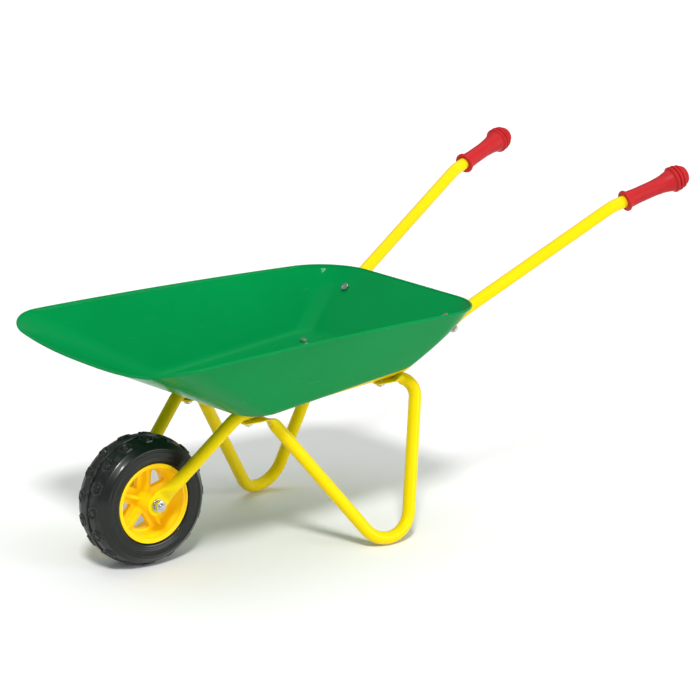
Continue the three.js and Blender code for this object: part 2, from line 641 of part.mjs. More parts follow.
// Move the origin to the bottom centre of the whole barrow.
const box = new THREE.Box3().setFromObject(wheelbarrow);
const middle = box.getCenter(v3(0, 0, 0));
for (const mesh of wheelbarrow.children) {
  mesh.geometry.translate(-middle.x, -middle.y, -box.min.z);
  mesh.geometry.computeVertexNormals();
}

export default wheelbarrow;
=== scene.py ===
"""A child's metal wheelbarrow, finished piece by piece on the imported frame.

Shapes are drawn in millimetres with the axle over x = 0 and the ground at z = 0, and `to_row`
turns them into metres in the frame's own coordinates. +X runs to the grips, -Y is the left side.
"""

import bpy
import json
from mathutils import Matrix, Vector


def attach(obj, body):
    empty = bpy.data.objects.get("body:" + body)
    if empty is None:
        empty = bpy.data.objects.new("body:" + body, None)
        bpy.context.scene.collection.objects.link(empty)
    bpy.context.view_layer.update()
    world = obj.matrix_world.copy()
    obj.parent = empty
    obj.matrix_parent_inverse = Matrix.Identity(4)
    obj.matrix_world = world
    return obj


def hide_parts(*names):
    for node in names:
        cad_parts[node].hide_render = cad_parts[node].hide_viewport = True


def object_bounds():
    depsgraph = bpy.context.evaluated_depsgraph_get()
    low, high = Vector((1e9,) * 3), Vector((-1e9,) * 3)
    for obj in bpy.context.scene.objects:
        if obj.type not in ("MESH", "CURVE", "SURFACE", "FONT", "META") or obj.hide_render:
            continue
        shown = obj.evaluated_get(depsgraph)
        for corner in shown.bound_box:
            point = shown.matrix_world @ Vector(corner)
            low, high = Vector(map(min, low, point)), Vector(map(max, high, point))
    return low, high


bl_info = {
    "name": "Child's wheelbarrow",
    "version": (1, 0, 0),
    "blender": (4, 5, 0),
    "location": "View3D > Sidebar > Wheelbarrow",
    "description": "Builds a tube-framed wheelbarrow with a pressed tray, piece by piece",
    "category": "Object",
}

import json
import math

import bmesh
import bpy
import numpy as np
from mathutils import Vector

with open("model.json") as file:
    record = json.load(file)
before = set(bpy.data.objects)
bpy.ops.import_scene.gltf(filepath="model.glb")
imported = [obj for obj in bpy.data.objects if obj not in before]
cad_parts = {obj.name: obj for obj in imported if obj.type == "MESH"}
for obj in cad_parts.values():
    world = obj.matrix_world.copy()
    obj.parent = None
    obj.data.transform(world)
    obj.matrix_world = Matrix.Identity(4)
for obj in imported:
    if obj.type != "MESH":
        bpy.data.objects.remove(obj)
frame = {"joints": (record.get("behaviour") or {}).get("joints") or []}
CAD_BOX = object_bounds()

# ---- drawing dimensions, in millimetres ------------------------------------------------------
AXLE_X, _, AXLE_Z = frame["joints"][0]["pos_m"]
WHEEL_R = AXLE_Z * 1000
SIDES = (("left", -1), ("right", 1))
GAP = 0.3  # air the frame leaves between pieces that touch

TUBE_R = 8.0
STRIP_W, STRIP_T = 12.2, 1.4  # half width and half thickness of a flattened tube end
TONGUE_Y = 33.0
TONGUE_NOSE = 13.0

SHEET = 1.0
BEAD_R = 1.6
FLOOR_FRONT, FLOOR_SLOPE, FLOOR_Z = 85.0, 0.1, 187.0
FLOOR_HALF_FRONT, FLOOR_HALF_REAR = 117.0, 112.0
REAR_SLOPE = 0.847
RIM_FRONT, RIM_REAR = -75.4, 417.0
RIM_HALF_FRONT, RIM_HALF_REAR = 178.0, 156.0
RIM_Z, RIM_CROWN = 284.0, 3.5
CORNER_FLOOR, CORNER_RIM = (36.0, 22.0), (44.0, 68.0)
FLOOR_FILLET = 9.0

BOLT_R, BOLT_HEX = 3.0, 5.0  # M6: thread radius, half of the hexagon across its flats
TRAY_NUT_H = 4.0
AXLE_R, AXLE_HEX, AXLE_PITCH = 4.0, 6.5, 1.25  # M8
BOLT_BEHIND_BEND, BOLT_AHEAD_OF_BEND = 13.0, 33.0  # floor bolts from the rail's front and rear bends
WALL_BOLT_SHARE = 0.78  # wall bolt along the rail's run up the rear wall

FORK_RISE, FORK_SPLAY = 0.9915, 0.282
FORK_LIFT, FORK_Y = 0.86, 34.2  # the fork line where it passes the axle
HANDLE_RISE, HANDLE_SPLAY = 0.5467, 0.225
GRIP_START = np.array([638.0, 156.2, 386.0])
GRIP_END = np.array([729.5, 173.8, 413.5])
GRIP_BORE = 88.0

LEG_FOOT = np.array([287.7, 150.2, -38.6])
LEG_FRONT, LEG_REAR = (137.4, 71.4), (352.0, 91.5)

HUB_LIP_R, HUB_LIP_Y, HUB_SEAT_R, HUB_BORE_R = 49.3, 27.5, 44.0, 6.05
BOSS_R, BOSS_END = 11.5, 30.0
WEB_R, WEB_BACK, WEB_FRONT = 38.6, 1.4, 4.0
SPOKES, SPOKE_PHASE = 5, math.radians(12.5)


# ---- small vector helpers --------------------------------------------------------------------
def vec(*values):
    return np.array(values, float)


def unit(v):
    return v / np.linalg.norm(v, axis=-1, keepdims=True)


def mix(a, b, t):
    return a + (b - a) * t


def smooth(t):
    t = np.clip(t, 0, 1)
    return t * t * (3 - 2 * t)


def bent_line(corners, turn_step=4.0, arc_steps=None):
    """Points of a line that runs straight between (point, radius) corners and turns on each radius."""
    points = [np.array(corners[0][0], float)]
    for (before, _), (corner, radius), (after, _) in zip(corners, corners[1:], corners[2:]):
        corner = np.array(corner, float)
        back, on = unit(before - corner), unit(after - corner)
        turn = math.pi - math.acos(float(np.clip(back @ on, -1, 1)))
        if radius == 0 or turn < 1e-5:
            points.append(corner)
            continue
        centre = corner + unit(back + on) * radius / math.cos(turn / 2)
        start = corner + back * radius * math.tan(turn / 2) - centre
        turned = np.cross(unit(np.cross(-back, on)), start)
        steps = arc_steps or max(2, math.ceil(math.degrees(turn) / turn_step))
        for k in range(steps + 1):
            a = turn * k / steps
            points.append(centre + start * math.cos(a) + turned * math.sin(a))
    points.append(np.array(corners[-1][0], float))
    return np.array(points)


def runs(points):
    """Distance of each point from the start of its line."""
    return np.concatenate([[0], np.cumsum(np.linalg.norm(np.diff(points, axis=0), axis=1))])


def spaced(points, step, extra=()):
    """The same line with no two neighbours further apart than step, and stops at the extra distances."""
    run = runs(points)
    stops = set(np.round(run, 4))
    for a, b in zip(run, run[1:]):
        stops.update(np.round(np.linspace(a, b, max(1, math.ceil((b - a) / step)) + 1), 4))
    stops.update(np.round([e if e >= 0 else run[-1] + e for e in extra], 4))
    stops = np.array(sorted(stops))
    stops = stops[np.concatenate([[True], np.diff(stops) > 0.05])]
    return np.stack([np.interp(stops, run, points[:, k]) for k in range(3)], 1)


def rounded(corners, step=0.7, turn_step=12.0):
    """A flat profile of (r, h, fillet) corners with its corners rounded and its straights split."""
    line = bent_line([(vec(r, h, 0), fillet) for r, h, fillet in corners], turn_step)
    return spaced(line, step)[:, :2]


# ---- meshes ----------------------------------------------------------------------------------
def to_row(points):
    return points * 0.001 + vec(AXLE_X, 0, 0)


class Surface:
    """Vertices and faces of one piece, gathered in millimetres."""

    def __init__(self):
        self.points, self.faces = [], []

    def grid(self, rings, around=True, loop=False, caps=(False, False)):
        """Quads between rings that all hold the same number of points."""
        rings = np.asarray(rings, float)
        m, n = rings.shape[:2]
        base = sum(len(p) for p in self.points)
        self.points.append(rings.reshape(-1, 3))
        for i in range(m if loop else m - 1):
            a, b = base + i * n, base + ((i + 1) % m) * n
            for j in range(n if around else n - 1):
                k = (j + 1) % n
                self.faces.append((a + j, a + k, b + k, b + j))
        if caps[0]:
            self.faces.append([base + j for j in reversed(range(n))])
        if caps[1]:
            self.faces.append([base + (m - 1) * n + j for j in range(n)])
        return self

    def turned(self, profile, at, axis, segments, loop=False):
        """A profile of (radius, height) turned about the line from `at` along `axis`."""
        axis = unit(np.array(axis, float))
        across = unit(np.cross(axis, vec(0.31, 0.17, 1) if abs(axis[2]) < 0.9 else vec(1, 0, 0.2)))
        if abs(axis[1]) > 0.99:
            across = vec(1, 0, 0)
        up = np.cross(axis, across)
        angle = np.linspace(0, 2 * math.pi, segments, endpoint=False)
        spokes = np.outer(np.cos(angle), across) + np.outer(np.sin(angle), up)
        profile = np.asarray(profile, float)
        rings = at + profile[:, 0, None, None] * spokes + profile[:, 1, None, None] * axis
        return self.grid(rings, loop=loop)

    def mirrored(self, side):
        if side < 0:
            self.points = [p * vec(1, -1, 1) for p in self.points]
        return self


def finished(name, surface, body, nodes, material, sharp=32.0):
    """The surface as an object that rides on its body and stands for its frame nodes."""
    mesh = bpy.data.meshes.new(name)
    mesh.from_pydata(to_row(np.concatenate(surface.points)).tolist(), [], surface.faces)
    bm = bmesh.new()
    bm.from_mesh(mesh)
    bmesh.ops.remove_doubles(bm, verts=bm.verts, dist=2e-6)
    bmesh.ops.dissolve_degenerate(bm, edges=bm.edges, dist=1e-7)
    bmesh.ops.recalc_face_normals(bm, faces=bm.faces)
    bm.to_mesh(mesh)
    bm.free()
    mesh.shade_smooth()
    mesh.set_sharp_from_angle(angle=math.radians(sharp))
    mesh.materials.append(material)
    piece = bpy.data.objects.new(name, mesh)
    bpy.context.scene.collection.objects.link(piece)
    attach(piece, body)
    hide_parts(*nodes)
    return piece


# ---- shader graphs ---------------------------------------------------------------------------
class Value:
    """A shader socket that can stand in a Python expression."""

    def __init__(self, graph, socket):
        self.graph, self.socket = graph, socket

    def _math(self, operation, a, b=0.0):
        return self.graph.add("ShaderNodeMath", {"operation": operation}, {0: a, 1: b})

    def __add__(self, other):
        return self._math("ADD", self, other)

    __radd__ = __add__

    def __sub__(self, other):
        return self._math("SUBTRACT", self, other)

    def __rsub__(self, other):
        return self._math("SUBTRACT", other, self)

    def __mul__(self, other):
        return self._math("MULTIPLY", self, other)

    __rmul__ = __mul__

    def __pow__(self, other):
        return self._math("POWER", self, other)

    def clamped(self):
        return self._math("MINIMUM", self._math("MAXIMUM", self, 0.0), 1.0)

    def above(self, low, high):
        """0 below low, 1 above high, smooth between."""
        return self.graph.add("ShaderNodeMapRange", {"interpolation_type": "SMOOTHSTEP"},
                              {0: self, 1: low, 2: high})


class Graph:
    """One material and its nodes."""

    def __init__(self, name):
        self.material = bpy.data.materials.new(name)
        self.material.use_nodes = True
        self.tree = self.material.node_tree
        self.tree.nodes.clear()
        self.place = self.add("ShaderNodeTexCoord", {}, {}, "Object")

    def add(self, kind, settings, inputs, output=0):
        """A node with its settings made first, then its inputs, each a number, colour or Value."""
        node = self.tree.nodes.new(kind)
        for key, value in settings.items():
            setattr(node, key, value)
        for key, value in inputs.items():
            if isinstance(value, Value):
                self.tree.links.new(value.socket, node.inputs[key])
            else:
                node.inputs[key].default_value = value
        return Value(self, node.outputs[output])

    def stretched(self, scale, turn=(0, 0, 0)):
        return self.add("ShaderNodeMapping", {}, {"Vector": self.place, "Scale": scale, "Rotation": turn})

    def noise(self, scale, detail=2.0, rough=0.5, where=None, twist=0.0):
        return self.add("ShaderNodeTexNoise", {}, {
            "Vector": where or self.place, "Scale": scale, "Detail": detail, "Roughness": rough,
            "Distortion": twist})

    def cells(self, scale, output="Distance"):
        return self.add("ShaderNodeTexVoronoi", {}, {"Vector": self.place, "Scale": scale}, output)

    def blend(self, amount, a, b):
        pick = [c if isinstance(c, Value) else (*c[:3], 1) for c in (a, b)]
        return self.add("ShaderNodeMix", {"data_type": "RGBA"}, {0: amount, 6: pick[0], 7: pick[1]}, 2)

    def split(self):
        return [self.add("ShaderNodeSeparateXYZ", {}, {0: self.place}, k) for k in range(3)]

    def bump(self, height, strength, distance, under=None):
        inputs = {"Height": height, "Strength": strength, "Distance": distance}
        if under is not None:
            inputs["Normal"] = under
        return self.add("ShaderNodeBump", {}, inputs)

    def principled(self, **inputs):
        shader = self.add("ShaderNodeBsdfPrincipled", {},
                          {key.replace("_", " "): value for key, value in inputs.items()})
        self.add_output(shader)
        return self.material

    def add_output(self, shader):
        node = self.tree.nodes.new("ShaderNodeOutputMaterial")
        self.tree.links.new(shader.socket, node.inputs["Surface"])


def shade(colour, share):
    """The colour darkened or lightened by a share."""
    return tuple(min(1.0, c * share) for c in colour[:3])


def enamel(name, colour, dusk, gloss, peel, sheen):
    """Glossy baked enamel: a slow drift of tone, orange peel, faint rub marks and settled dust."""
    g = Graph(name)
    drift = g.noise(7.0, 3.0, 0.55)
    fine = g.noise(420.0, 2.0, 0.5)
    rub = g.noise(24.0, 4.0, 0.65, g.stretched((1.0, 12.0, 12.0), (0.2, 0.5, 0.3)))
    marks = rub.above(0.60, 0.74)
    tone = g.blend((drift * 1.5 - 0.25).clamped(), dusk, colour)
    tone = g.blend(marks * 0.008, tone, (0.82, 0.84, 0.80))
    speck = (1 - g.cells(95.0).above(0.03, 0.09)) * g.noise(23.0, 1.0).above(0.56, 0.66)
    tone = g.blend(speck * 0.12, tone, shade(dusk, 0.6))
    rough = gloss + marks * 0.05 + fine * 0.05 + speck * 0.06
    waves = g.noise(150.0, 2.0, 0.6)
    normal = g.bump(waves, peel, 0.0006)
    normal = g.bump(fine, 0.02, 0.0002, normal)
    return g.principled(Base_Color=tone, Roughness=rough, Normal=normal, IOR=1.45,
                        Specular_IOR_Level=sheen, Specular_Tint=(*shade(colour, 1.6), 1),
                        Coat_Weight=0.06, Coat_Roughness=0.04, Coat_IOR=1.4)


def moulded(name, colour, dusk, rough, grain, painted_glow):
    """Moulded plastic: flow marks, a fine grain, handling shine and a painted glow, which is emission in its
    own colour that lifts its shade.
    """
    g = Graph(name)
    flow = g.noise(14.0, 3.0, 0.6, twist=0.6)
    fine = g.noise(grain, 2.0, 0.55)
    shine = g.noise(40.0, 3.0, 0.6).above(0.42, 0.66)
    tone = g.blend((flow * 1.5 - 0.25).clamped(), dusk, colour)
    tone = g.blend(fine * 0.12, tone, shade(dusk, 0.8))
    normal = g.bump(fine, 0.10, 0.0003)
    # Emission_Color and Emission_Strength paint a glow: the plastic lights its own shaded recesses with no
    # lamp behind it.
    return g.principled(Base_Color=tone, Roughness=rough + shine * 0.10 + fine * 0.06, Normal=normal,
                        IOR=1.45, Specular_IOR_Level=0.22, Emission_Color=tone, Emission_Strength=painted_glow)


def tyre_plastic(name, colour, gloss):
    """Black blown plastic: smooth side walls and a duller, scuffed tread with paler crowns."""
    g = Graph(name)
    x, _, z = g.split()
    radius = ((x - AXLE_X) ** 2.0 + (z - AXLE_Z) ** 2.0) ** 0.5
    tread = radius.above(0.0725, 0.0775)
    top = radius.above(0.0781, 0.0793)
    mottle = g.noise(170.0, 4.0, 0.7)
    fine = g.noise(900.0, 2.0, 0.6)
    haze = g.noise(26.0, 3.0, 0.6)
    tone = g.blend((haze * 1.4 - 0.2).clamped(), shade(colour, 0.7), colour)
    tone = g.blend(tread * mottle.above(0.45, 0.7) * 0.35, tone, (0.045, 0.048, 0.046))
    tone = g.blend(top * mottle.above(0.4, 0.6) * 0.3, tone, (0.07, 0.07, 0.068))
    rough = gloss + tread * (0.10 + mottle * 0.16) + fine * 0.06 + top * 0.12
    normal = g.bump(mottle, tread * 0.16 + 0.03, 0.0007)
    normal = g.bump(fine, 0.06, 0.0002, normal)
    return g.principled(Base_Color=tone, Roughness=rough, Normal=normal, IOR=1.48,
                        Specular_IOR_Level=0.3, Coat_Weight=0.2, Coat_Roughness=0.06)


def zinc(name, colour):
    """Bright zinc plating: crystal mottle, turning marks, a trace of passivation colour."""
    g = Graph(name)
    mottle = g.cells(700.0, output="Color")
    grey = g.add("ShaderNodeRGBToBW", {}, {0: mottle})
    streak = g.noise(900.0, 2.0, 0.6, g.stretched((1.0, 6.0, 1.0)))
    patch = g.noise(110.0, 3.0, 0.6)
    tone = g.blend(grey * 0.5, colour, shade(colour, 0.62))
    tone = g.blend(patch.above(0.5, 0.68) * 0.35, tone, (0.62, 0.58, 0.46))
    normal = g.bump(grey + streak * 0.8, 0.14, 0.0002)
    return g.principled(Base_Color=tone, Metallic=1.0, Roughness=0.14 + grey * 0.10 + streak * 0.08,
                        Normal=normal)


# ---- settings --------------------------------------------------------------------------------
def colour_prop(name, description, default):
    return bpy.props.FloatVectorProperty(name=name, description=description, subtype="COLOR", size=3,
                                         min=0, max=1, default=default)


def length_prop(name, description, default_mm):
    return bpy.props.FloatProperty(name=name, description=description, default=default_mm / 1000,
                                   min=0, unit="LENGTH", precision=5)


class BarrowTraySettings(bpy.types.PropertyGroup):
    colour: colour_prop("Enamel", "Colour of the tray's enamel", (0.0006, 0.262, 0.062))
    dusk: colour_prop("Enamel low tone", "Darker tone that the enamel drifts to", (0.0006, 0.222, 0.052))
    dip: length_prop("Front dip", "How far the pouring edge sags in its middle", 20.0)
    gloss: bpy.props.FloatProperty(name="Roughness", description="Roughness of the enamel",
                                   default=0.22, min=0, max=1, subtype="FACTOR")


class BarrowFrameSettings(bpy.types.PropertyGroup):
    colour: colour_prop("Enamel", "Colour of the tubes' enamel", (0.86, 0.67, 0.006))
    dusk: colour_prop("Enamel low tone", "Darker tone that the enamel drifts to", (0.83, 0.60, 0.004))
    segments: bpy.props.IntProperty(name="Segments", description="Points around each tube",
                                    default=40, min=12, max=96)


class BarrowWheelSettings(bpy.types.PropertyGroup):
    tyre: colour_prop("Tyre", "Colour of the tyre", (0.006, 0.0085, 0.007))
    hub: colour_prop("Hub", "Colour of the hub", (0.84, 0.62, 0.004))
    hub_dusk: colour_prop("Hub low tone", "Deeper tone in the hub's plastic", (0.82, 0.47, 0.003))
    knobs: bpy.props.IntProperty(name="Knobs", description="Tread knobs on each shoulder",
                                 default=16, min=6, max=40)
    knob_rise: length_prop("Knob height", "How far a knob stands out of the shoulder", 1.6)


class BarrowGripSettings(bpy.types.PropertyGroup):
    colour: colour_prop("Grip", "Colour of the grips", (0.56, 0.018, 0.020))
    dusk: colour_prop("Grip low tone", "Deeper tone in the grips' plastic", (0.40, 0.008, 0.012))


class BarrowHardwareSettings(bpy.types.PropertyGroup):
    colour: colour_prop("Zinc", "Colour of the plated fasteners", (0.60, 0.61, 0.62))
    pitch: length_prop("Thread pitch", "Pitch of the tray bolts' thread", 1.0)


class BarrowStageSettings(bpy.types.PropertyGroup):
    azimuth: bpy.props.FloatProperty(name="Azimuth", description="Camera direction, 0 looks along +Y",
                                     default=math.radians(-38.3), subtype="ANGLE", unit="ROTATION")
    elevation: bpy.props.FloatProperty(name="Elevation", description="Camera height angle",
                                       default=math.radians(15.0), subtype="ANGLE", unit="ROTATION")
    distance: length_prop("Distance", "From the camera to the point it looks at", 3534.0)
    lens: bpy.props.FloatProperty(name="Lens", description="Focal length", default=144.57, min=1,
                                  unit="CAMERA")
    floor: colour_prop("Floor", "Colour of the floor", (0.93, 0.93, 0.93))


# ---- tray ------------------------------------------------------------------------------------
def floor_z(x):
    return FLOOR_Z + FLOOR_SLOPE * (x - FLOOR_FRONT)


def wall_z(x):
    return RIM_Z - BEAD_R - REAR_SLOPE * (RIM_REAR - x)


FLOOR_UP = unit(vec(-FLOOR_SLOPE, 0, 1))
WALL_UP = unit(vec(-REAR_SLOPE, 0, 1))
FLOOR_REAR = (wall_z(0) - floor_z(0)) / (FLOOR_SLOPE - REAR_SLOPE)


def outline(front, rear, half_front, half_rear, radii, steps=22, splits=(12, 26, 9)):
    """Rounded four-cornered outline with the same number of points whatever its size."""
    line = bent_line([(vec(front, 0, 0), 0), (vec(front, half_front, 0), radii[0]),
                      (vec(rear, half_rear, 0), radii[1]), (vec(rear, 0, 0), 0)], arc_steps=steps)
    arc = steps + 1

    def split(a, b, n):
        return [mix(a, b, i / n) for i in range(n)]

    half = (split(line[0], line[1], splits[0]) + list(line[1:arc])
            + split(line[arc], line[arc + 1], splits[1]) + list(line[arc + 1:2 * arc])
            + split(line[2 * arc], line[-1], splits[2]) + [line[-1]])
    half = np.array(half)
    return np.concatenate([half, half[-2:0:-1] * vec(1, -1, 1)])


def tray_level(t):
    """Outline of the tray's inner face: t is 0 at the floor and 1 at the wired edge."""
    return outline(mix(FLOOR_FRONT, RIM_FRONT, t), mix(FLOOR_REAR, RIM_REAR, t),
                   mix(FLOOR_HALF_FRONT, RIM_HALF_FRONT, t), mix(FLOOR_HALF_REAR, RIM_HALF_REAR, t),
                   (mix(CORNER_FLOOR[0], CORNER_RIM[0], t), mix(CORNER_FLOOR[1], CORNER_RIM[1], t ** 2.6)))


def rim_height(p, dip):
    t = (p[:, 0] - RIM_FRONT) / (RIM_REAR - RIM_FRONT)
    sag = np.clip(1 - (p[:, 0] - RIM_FRONT) / 60, 0, None) * np.clip(
        1 - (np.abs(p[:, 1]) / RIM_HALF_FRONT) ** 2.6, 0, None)
    return RIM_Z + RIM_CROWN * 4 * t * (1 - t) - dip * sag


def with_z(points, z):
    return np.column_stack([points[:, :2], z])


def tray_rings(dip):
    foot, top = tray_level(0), tray_level(1)
    foot = with_z(foot, floor_z(foot[:, 0]))
    rim = with_z(top, rim_height(top, dip) - BEAD_R)

    def wall(t):
        return with_z(tray_level(t), mix(foot[:, 2], rim[:, 2], t))

    inset = FLOOR_FILLET
    flat = outline(FLOOR_FRONT + inset, FLOOR_REAR - inset, FLOOR_HALF_FRONT - inset,
                   FLOOR_HALF_REAR - inset, (CORNER_FLOOR[0] - inset, CORNER_FLOOR[1] - inset))
    flat = with_z(flat, floor_z(flat[:, 0]))
    first_t = inset / 110
    first = wall(first_t)
    middle = flat.mean(0)
    floor = [mix(middle, flat, s) for s in (0.05, 0.3, 0.6, 0.85, 0.96)]
    bend = [flat * (1 - t) ** 2 + foot * 2 * t * (1 - t) + first * t * t for t in np.linspace(0, 1, 8)]
    walls = [wall(t) for t in np.linspace(first_t, 1, 22)[1:-1]]
    return floor + bend + walls + [rim]


def around_tangent(ring):
    return unit(np.roll(ring, -1, 0) - np.roll(ring, 1, 0))


def behind(rings):
    """The sheet's outer face, one sheet's thickness behind each inner ring."""
    out = []
    for i, ring in enumerate(rings):
        up = rings[min(i + 1, len(rings) - 1)] - rings[max(i - 1, 0)]
        normal = unit(np.cross(around_tangent(ring), up))
        normal *= np.sign(normal[:, 2:3])
        out.append(ring - normal * SHEET)
    return out


def bead_rings(rim):
    """The wired edge: a round bead that stands outside the inner face."""
    along = around_tangent(rim)
    out = unit(np.column_stack([along[:, 1], -along[:, 0], np.zeros(len(rim))]))
    middle = vec((RIM_FRONT + RIM_REAR) / 2, 0, 0)
    out *= np.sign(((rim - middle) * out).sum(1))[:, None]
    return [rim + out * BEAD_R * (1 + math.cos(a)) + vec(0, 0, BEAD_R * math.sin(a))
            for a in np.radians(np.arange(165, -112, -15))]


def tray_surface(dip):
    inner = tray_rings(dip)
    return Surface().grid(inner + bead_rings(inner[-1]) + behind(inner)[::-1], caps=(True, True))


# ---- tubes -----------------------------------------------------------------------------------
UNDER_SHEET = SHEET + GAP + TUBE_R


def under_floor(x):
    return floor_z(x) - UNDER_SHEET / FLOOR_UP[2]


def under_wall(x):
    return wall_z(x) - UNDER_SHEET / WALL_UP[2]


def fork_z(x):
    return WHEEL_R + FORK_LIFT + FORK_RISE * x


HANDLE_BEND = mix(GRIP_START, GRIP_END, -0.197)


def handle_z(x):
    return HANDLE_BEND[2] + HANDLE_RISE * (x - HANDLE_BEND[0])


def meet(f, g):
    """Where two straight lines cross."""
    return (g(0) - f(0)) / (f(1) - f(0) - g(1) + g(0))


RAIL_X = {"front": meet(fork_z, under_floor), "rear": meet(under_floor, under_wall),
          "top": meet(under_wall, handle_z)}
RAIL_Y = {"front": FORK_Y + FORK_SPLAY * RAIL_X["front"], "rear": 79.0,
          "top": HANDLE_BEND[1] + HANDLE_SPLAY * (RAIL_X["top"] - HANDLE_BEND[0])}


def bolt_seats():
    """Point on the tray's inner face and outward direction for each right-hand tray bolt."""
    def rail_y(x):
        share = (x - RAIL_X["front"]) / (RAIL_X["rear"] - RAIL_X["front"])
        return mix(RAIL_Y["front"], RAIL_Y["rear"], share)

    front, rear = RAIL_X["front"] + BOLT_BEHIND_BEND, RAIL_X["rear"] - BOLT_AHEAD_OF_BEND
    wall = mix(RAIL_X["rear"], RAIL_X["top"], WALL_BOLT_SHARE) + WALL_UP[0] * UNDER_SHEET
    return {"front": (vec(front, rail_y(front), floor_z(front)), FLOOR_UP, True),
            "rear": (vec(rear, rail_y(rear), floor_z(rear)), FLOOR_UP, True),
            "wall": (vec(wall, mix(RAIL_Y["rear"], RAIL_Y["top"], WALL_BOLT_SHARE), wall_z(wall)),
                     WALL_UP, False)}


SEATS = bolt_seats()


def tube_surface(line, hint, flat, wide_side, nose, segments):
    """Tube round a line; `flat` presses it to a strip and `nose` narrows it at its ends."""
    along = unit(np.gradient(line, axis=0))
    side = hint - (hint * along).sum(1, keepdims=True) * along
    side = unit(side)
    plane = np.cross(along, side)
    wide, thin = (side, plane) if wide_side else (plane, side)
    half_wide = np.minimum(mix(TUBE_R, STRIP_W, flat), nose)[:, None]
    half_thin = mix(TUBE_R, STRIP_T, flat)[:, None]
    angle = np.linspace(0, 2 * math.pi, segments, endpoint=False)
    rings = []
    for i, p in enumerate(line):
        power = mix(1.0, 0.42, flat[i])
        c, s = np.cos(angle), np.sin(angle)
        c, s = np.sign(c) * np.abs(c) ** power, np.sign(s) * np.abs(s) ** power
        rings.append(p + np.outer(half_wide[i] * c, wide[i]) + np.outer(half_thin[i] * s, thin[i]))
    return Surface().grid(rings, caps=(True, True))


def rail_line():
    tongue = unit(vec(1, 0, FORK_RISE))
    axle = vec(0, TONGUE_Y, WHEEL_R)
    shoulder = 26.0
    rail_end = GRIP_START + unit(GRIP_END - GRIP_START) * (GRIP_BORE - 3)
    line = bent_line([
        (axle - tongue * TONGUE_NOSE, 0),
        (axle + tongue * 13, 22),
        (vec(shoulder, RAIL_Y["front"] - FORK_SPLAY * (RAIL_X["front"] - shoulder), fork_z(shoulder)), 30),
        (vec(RAIL_X["front"], RAIL_Y["front"], under_floor(RAIL_X["front"])), 30),
        (vec(RAIL_X["rear"], RAIL_Y["rear"], under_floor(RAIL_X["rear"])), 34),
        (vec(RAIL_X["top"], RAIL_Y["top"], under_wall(RAIL_X["top"])), 60),
        (HANDLE_BEND, 60),
        (rail_end, 0)])
    return spaced(line, 5.0, (0.05, 0.3, 0.8, 1.6, 2.8, 4.2, 6, 8, 10.5))


def rail_surface(segments):
    line = rail_line()
    run = runs(line)
    flat = 1 - smooth((run - 24) / 20)
    reach = np.clip(TONGUE_NOSE - run, 0, TONGUE_NOSE - 0.01)
    nose = np.where(run < TONGUE_NOSE, np.sqrt(TONGUE_NOSE ** 2 - reach ** 2), STRIP_W)
    return tube_surface(line, np.tile(vec(0, 1, 0), (len(line), 1)), flat, False, nose, segments)


STRIP_UNDER = SHEET + 2 * GAP + 2 * TUBE_R + STRIP_T


def leg_top(xy):
    return vec(xy[0], xy[1], floor_z(xy[0]) - STRIP_UNDER / FLOOR_UP[2])


def leg_surface(segments):
    """A tube bent into a V with a rounded foot; both flattened ends lie under the rail."""
    tops = [leg_top(LEG_FRONT), leg_top(LEG_REAR)]
    ends = [SEATS[k][0] - SEATS[k][1] * STRIP_UNDER for k in ("front", "rear")]
    tips = [end + unit(end - top) * 9.5 for end, top in zip(ends, tops)]
    line = bent_line([(tips[0], 0), (tops[0], 18), (LEG_FOOT, 36), (tops[1], 22), (tips[1], 0)])
    near_tip = (0.3, 0.8, 1.6, 2.8, 4.2, 6, 8)
    line = spaced(line, 4.0, (*near_tip, *[-u for u in near_tip]))
    run = runs(line)
    length = run[-1]
    normal = unit(np.cross(tops[0] - LEG_FOOT, tops[1] - LEG_FOOT))
    normal = normal * np.sign(normal[1])
    flat = np.maximum(1 - smooth((run - 33) / 14), 1 - smooth((length - run - 24) / 16))
    hint = unit(mix(normal, vec(0, 1, 0), flat[:, None]))
    corner = 8.0
    from_tip = np.minimum(run, length - run)
    reach = np.clip(corner - from_tip, 0, corner - 0.01)
    nose = np.where(from_tip < corner, STRIP_W - corner + np.sqrt(corner ** 2 - reach ** 2), STRIP_W)
    return tube_surface(line, hint, flat, True, nose, segments)


# ---- fasteners -------------------------------------------------------------------------------
def hex_rings(flat_r, height, at, axis, dish=0.0, washer=0.0, bore=0.0, both=False, phase=0.0):
    """Rings of a chamfered hexagon, from its seat up to the middle (or the bore) of its top."""
    axis = unit(np.array(axis, float))
    across = unit(np.cross(axis, vec(0, 1, 0) if abs(axis[1]) < 0.9 else vec(1, 0, 0)))
    other = np.cross(axis, across)
    angle = phase + np.linspace(0, 2 * math.pi, 96, endpoint=False)
    spokes = np.outer(np.cos(angle), across) + np.outer(np.sin(angle), other)
    corner = flat_r / np.cos((angle % (math.pi / 3)) - math.pi / 6)
    fall = (corner - flat_r * 0.97) * 0.5
    ones = np.ones_like(corner)
    inner = bore * ones if bore else 0.001 * ones
    rings = [(inner, height * ones - dish), (mix(inner, flat_r * ones, 0.55), height * ones - dish),
             (mix(inner, flat_r * ones, 0.7), height * ones), (flat_r * 0.95 * ones, height * ones),
             (corner * 0.985, height - fall * 0.9), (corner, height - fall - 0.12)]
    low = washer
    if both:
        rings += [(corner, low + fall + 0.12), (corner * 0.985, low + fall * 0.9),
                  (flat_r * 0.95 * ones, low * ones)]
    else:
        rings += [(corner, low + 0.1 * ones), (corner * 0.99, low * ones)]
    if washer:
        rings += [(flat_r * ones, low * ones), (flat_r * ones, 0 * ones)]
    rings.append((inner, 0 * ones))
    return [at + r[:, None] * spokes + h[:, None] * axis for r, h in rings]


